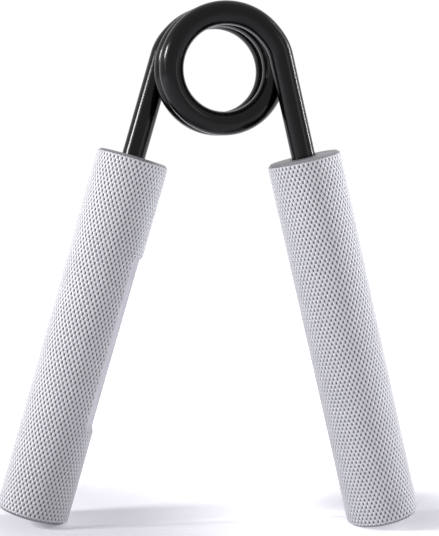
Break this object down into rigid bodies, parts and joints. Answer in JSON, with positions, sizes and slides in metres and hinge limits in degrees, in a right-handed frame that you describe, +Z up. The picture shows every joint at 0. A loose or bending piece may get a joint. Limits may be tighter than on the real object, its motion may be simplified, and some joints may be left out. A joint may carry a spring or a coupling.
{
  "type": "hand grip strengthener",
  "caption": "Torsion-spring hand gripper: two knurled bar handles pressed on the legs of a wound steel wire, squeezed together about the axis of its coil.",
  "frame": {"origin": "on the ground, at the middle of the part's box, as it stands on both feet", "axes": "+Z up through the coil, X from the left handle to the right handle, +Y towards the back, along the axis of the coil"},
  "size_m": [0.1262, 0.0414, 0.1571],
  "materials": {
    "knurled_aluminium": "diamond knurled, satin silver anodised",
    "black_spring_steel": "gloss black coating on spring steel wire"
  },
  "bodies": {
    "left_side": {"left_handle": "knurled_aluminium", "spring_left_leg": "black_spring_steel", "spring_coil": "black_spring_steel"},
    "right_side": {"right_handle": "knurled_aluminium", "spring_right_leg": "black_spring_steel"}
  },
  "joints": [
    {"name": "squeeze", "type": "hinge", "parent": "left_side", "child": "right_side", "pos_m": [0.00209, 0, 0.13743], "axis": [0, 1, 0], "range_deg": [0, 38.3], "stiffness_Nm_per_rad": 89, "deforming": ["spring_coil"]}
  ]
}
